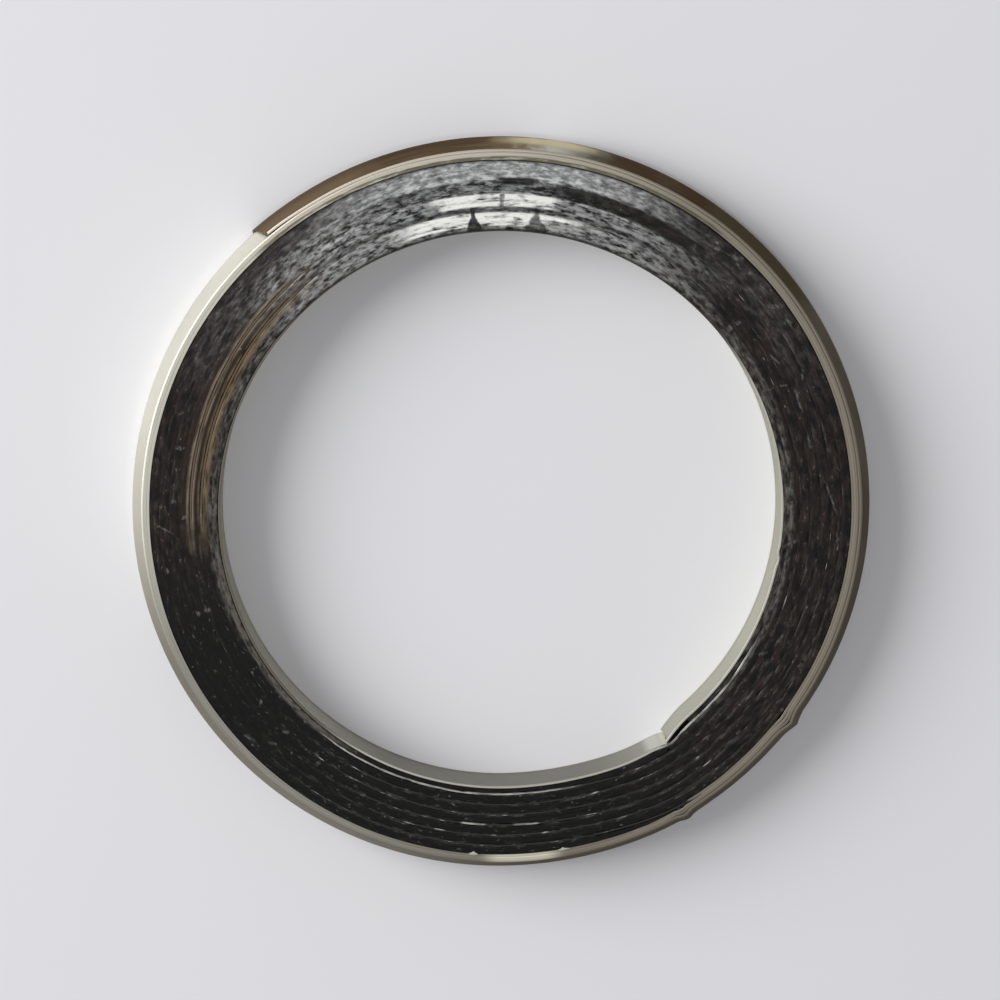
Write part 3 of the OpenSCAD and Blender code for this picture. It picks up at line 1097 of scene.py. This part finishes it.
# Painted light on the rims: a lighter painted sheen at the top, painted shade below and on the right.
metal = blend(nt, product(nt, rims, top_side, 0.8), metal, RIM_TOP_SHEEN)
metal = blend(nt, product(nt, rims, low_arc, 0.8), metal, RIM_LOW_SHADE)
metal = blend(nt, product(nt, rims, right_arc, 0.9), metal, RIM_RIGHT_SHADE)
# Painted highlight on a short stretch of the rims at the bottom.
metal = blend(nt, product(nt, rims, arc_mask(nt, 273.5, 3.5, 4), 0.8), metal, RIM_HIGHLIGHT)
tell(nt, "outer band")

# %% [markdown]
# ## Heat tint and painted reflection on the top flank
# The last turn is brown from its cut end to the top of the picture, darkest in its middle and lighter
# up the wall; this is partly heat tint and partly painted dark reflection. Past the top the wall turns
# olive with two red stretches, also partly painted dark reflection, and a painted highlight in yellow lies
# between brown and olive.

# %% Heat tint and painted reflection on the top flank
BROWN_LOW, BROWN_HIGH = (0.08, 0.042, 0.016), (0.185, 0.112, 0.048)
DARKEST_BROWN = (0.06, 0.034, 0.016)
OLIVE = (0.055, 0.043, 0.022)
RED = (0.055, 0.018, 0.007)
YELLOW_HIGHLIGHT = (0.78, 0.7, 0.44)

last_turn = rise(nt, turn_here, LAST_TURN - 0.4, LAST_TURN - 0.1)
brown_arc = arc_mask(nt, 116, 27, 8, ragged=8)
# Brown of the last turn, partly heat tint and partly painted dark reflection, painted lighter up the wall.
brown = product(nt, brown_arc, flank, last_turn, rise(nt, smudge, -0.05, 0.3), 0.92)
brown_tone = blend(nt, rise(nt, height_mm, 3.1, 4.6), BROWN_LOW, BROWN_HIGH)
metal = blend(nt, brown, metal, brown_tone)
# Its darkest stretch, partly painted shade.
darkest_brown = product(nt, arc_mask(nt, 101, 6, 8, ragged=6), flank, rise(nt, brushed, 0.25, 0.65), 0.75)
metal = blend(nt, darkest_brown, metal, DARKEST_BROWN)
# Olive and red stretches past the top, partly heat tint and partly painted dark reflection.
metal = blend(nt, product(nt, arc_mask(nt, 56, 18, 8, ragged=5), flank, 0.85), metal, OLIVE)
red_arcs = total(nt, arc_mask(nt, 58.5, 1, 4, ragged=4), arc_mask(nt, 68, 2, 5, ragged=5))
metal = blend(nt, product(nt, red_arcs, flank, rise(nt, brushed, 0.2, 0.6), 0.8), metal, RED)
# Painted highlight: a pale streak along the upper wall.
streak_height = product(nt, rise(nt, height_mm, 3.0, 3.4), rest_of(nt, rise(nt, height_mm, 3.7, 4.4)))
yellow = product(nt, arc_mask(nt, 82.5, 3.5, 7, ragged=4), flank, streak_height, 0.85)
metal = blend(nt, yellow, metal, YELLOW_HIGHLIGHT)
tell(nt, "heat tint")

# %% [markdown]
# ## Edges in the graphite
# The edges that show between the plies are smeared with graphite, and only here and there is the metal
# rubbed bare: in a mottle everywhere, along the second turn at the bottom, and on two short stretches of
# the fifth. In the patch on the left they are brown.

# %% Edges in the graphite
SMEARED_EDGE, BARE_EDGE = (0.05, 0.05, 0.046), (0.55, 0.54, 0.5)
PATCH_EDGE_BROWN = (0.15, 0.115, 0.078)

buried = product(nt, rest_of(nt, outside), rest_of(nt, bore_turn), near_top)
second_turn = product(nt, rest_of(nt, rise(nt, turn_here, 1.1, 1.3)), arc_mask(nt, 280, 45, 12))
fifth_turn = product(
    nt, rise(nt, turn_here, 3.6, 3.8), rest_of(nt, rise(nt, turn_here, 4.2, 4.4)),
    total(nt, arc_mask(nt, 264.9, 1.6, 1.0, ragged=2), arc_mask(nt, 274.6, 1.6, 1.0, ragged=2)),
)
rubbed_turns = product(nt, total(nt, second_turn, fifth_turn), rise(nt, mottle, 0.3, 0.62))
bare = total(nt, rise(nt, mottle, 0.58, 0.74), rubbed_turns)
smeared = blend(nt, bare, SMEARED_EDGE, BARE_EDGE)
patch_edges = product(nt, arc_mask(nt, 157, 20, 12), rest_of(nt, rise(nt, turn_here, 3.2, 3.5)))
smeared = blend(nt, patch_edges, smeared, PATCH_EDGE_BROWN)
metal = blend(nt, buried, metal, smeared)
tell(nt, "edges in the graphite")

# %% [markdown]
# ## Bore wall and rims
# The bore wall is a duller grey than the outside, with painted shade that makes it darkest at the bottom
# and a short painted highlight beside the hook. Its rim is black along the top, where graphite sticks to
# it, and brown on the left. Graphite is also rubbed into the first bare turn along the top. The two burrs
# at the bottom get a painted highlight.

# %% Bore wall and rims of the steel
BORE_GREY, BORE_SHADE = (0.5, 0.5, 0.43), (0.27, 0.265, 0.24)
BORE_HIGHLIGHT = (0.95, 0.95, 0.92)
RIM_BLACK, RIM_BROWN = (0.03, 0.03, 0.025), (0.13, 0.115, 0.09)
RIM_SPECKLE = (0.13, 0.12, 0.08)
BURR_HIGHLIGHT = (0.62, 0.61, 0.56)

bore_rim = product(nt, bore_turn, edge)
metal = blend(nt, product(nt, bore_turn, 0.85), metal, BORE_GREY)
# Painted shade: the bore wall is painted darker at the bottom.
shaded_low_wall = product(nt, bore_turn, arc_mask(nt, 268, 18, 26), rest_of(nt, edge), 0.85)
metal = blend(nt, shaded_low_wall, metal, BORE_SHADE)
# Painted highlight on the bore wall beside the hook.
bore_highlight = product(nt, arc_mask(nt, 302.4, 0.6, 2.2), rest_of(nt, rise(nt, height_mm, 4.0, 4.9)))
metal = blend(nt, product(nt, bore_turn, bore_highlight, 0.5), metal, BORE_HIGHLIGHT)
metal = blend(nt, product(nt, bore_rim, arc_mask(nt, 85, 44, 16), 0.92), metal, RIM_BLACK)
metal = blend(nt, product(nt, bore_rim, arc_mask(nt, 180, 48, 14), 0.9), metal, RIM_BROWN)
inner_rim = product(nt, band_mask(nt, 30.3, 30.98, 0.1), edge, outside)
speckled = product(nt, inner_rim, top_side, rise(nt, mottle, 0.24, 0.52), 0.9)
metal = blend(nt, speckled, metal, RIM_SPECKLE)
# Painted highlight: the two burrs at the bottom are painted bright.
burr_arcs = total(nt, arc_mask(nt, BURR_ON_FIRST[0], 0.5, 0.3), arc_mask(nt, BURR_ON_NEXT[0], 0.7, 0.4))
burrs = product(nt, burr_arcs, band_mask(nt, 29.5, 30.75, 0.08), near_top, rise(nt, turn_here, 6.9, 6.98))
metal = blend(nt, burrs, metal, BURR_HIGHLIGHT)
tell(nt, "bore and rims")

# %% [markdown]
# ## Gloss and grain of the steel
# All of the strip is metal. Smudges and the rubbed edges are rougher than the clean wall, the rolling
# grain gives a very fine bump, and a darker tint at grazing angles keeps the wall with painted shade
# dark.

# %% Gloss and grain of the steel
STEEL_BUMP_STRENGTH, STEEL_BUMP_DEPTH = 0.25, 0.00002
GRAZING_TINT = (0.66, 0.62, 0.55)

rough = calc(nt, "ADD", ramp(nt, smudge, 0.28, 0.22), product(nt, edge, 0.12))
bump_sockets = {"Height": brushed, "Strength": STEEL_BUMP_STRENGTH, "Distance": STEEL_BUMP_DEPTH}
bump = add(nt, "ShaderNodeBump", bump_sockets)
set_out(nt, shader.inputs["Base Color"], metal)
shader.inputs["Metallic"].default_value = 1.0
shader.inputs["Specular Tint"].default_value = (*GRAZING_TINT, 1)
set_out(nt, shader.inputs["Roughness"], rough)
set_out(nt, shader.inputs["Normal"], bump.outputs[0])
strip.data.materials.append(steel)
tell(nt, "steel")

# %% [markdown]
# ## Floor
# A plain pale floor stands in for the backdrop. The polished faces of the ring mirror it, so its
# brightness sets the brightness of the metal.

# %% Floor
FLOOR_HALF = 3.0
PALE = (0.76, 0.76, 0.78)
FLOOR_ROUGHNESS = 0.8

floor_mesh = bpy.data.meshes.new("floor")
bm = bmesh.new()
bmesh.ops.create_grid(bm, x_segments=1, y_segments=1, size=FLOOR_HALF)
bm.to_mesh(floor_mesh)
bm.free()
floor = bpy.data.objects.new("floor", floor_mesh)
bpy.context.scene.collection.objects.link(floor)
pale, nt, shader = material("pale_floor")
shader.inputs["Base Color"].default_value = (*PALE, 1)
shader.inputs["Roughness"].default_value = FLOOR_ROUGHNESS
floor.data.materials.append(pale)
print("floor", 2 * FLOOR_HALF, "m wide")

# %% [markdown]
# ## Light
# A broad soft light from the upper left brightens the wall on that side and the far bore wall, and
# leaves the right wall in the shade. A small lamp overhead adds sheen along the top of the ring, and a
# grey sky fills the shadows.

# %% Light
SKY = (0.36, 0.36, 0.37)

world = bpy.data.worlds.new("world")
bpy.context.scene.world = world
world.use_nodes = True
world.node_tree.nodes["Background"].inputs["Color"].default_value = (*SKY, 1)


def area_light(name, at, aim, size, energy):
    lamp = bpy.data.lights.new(name, "AREA")
    lamp.shape = "DISK"
    lamp.size = size
    lamp.energy = energy
    light = bpy.data.objects.new(name, lamp)
    light.location = at
    light.rotation_euler = (Vector(at) - Vector(aim)).to_track_quat("Z", "Y").to_euler()
    light.visible_camera = False
    bpy.context.scene.collection.objects.link(light)
    print(name, "light of", energy, "W")


area_light("key", at=(-0.75, 0.28, 0.52), aim=(0, 0, 0), size=0.75, energy=9.2)
area_light("overhead", at=(0.009, -0.011, 0.6), aim=(0.009, 0.03, 0.0), size=0.05, energy=0.28)

bpy.context.scene.view_settings.view_transform = "Standard"
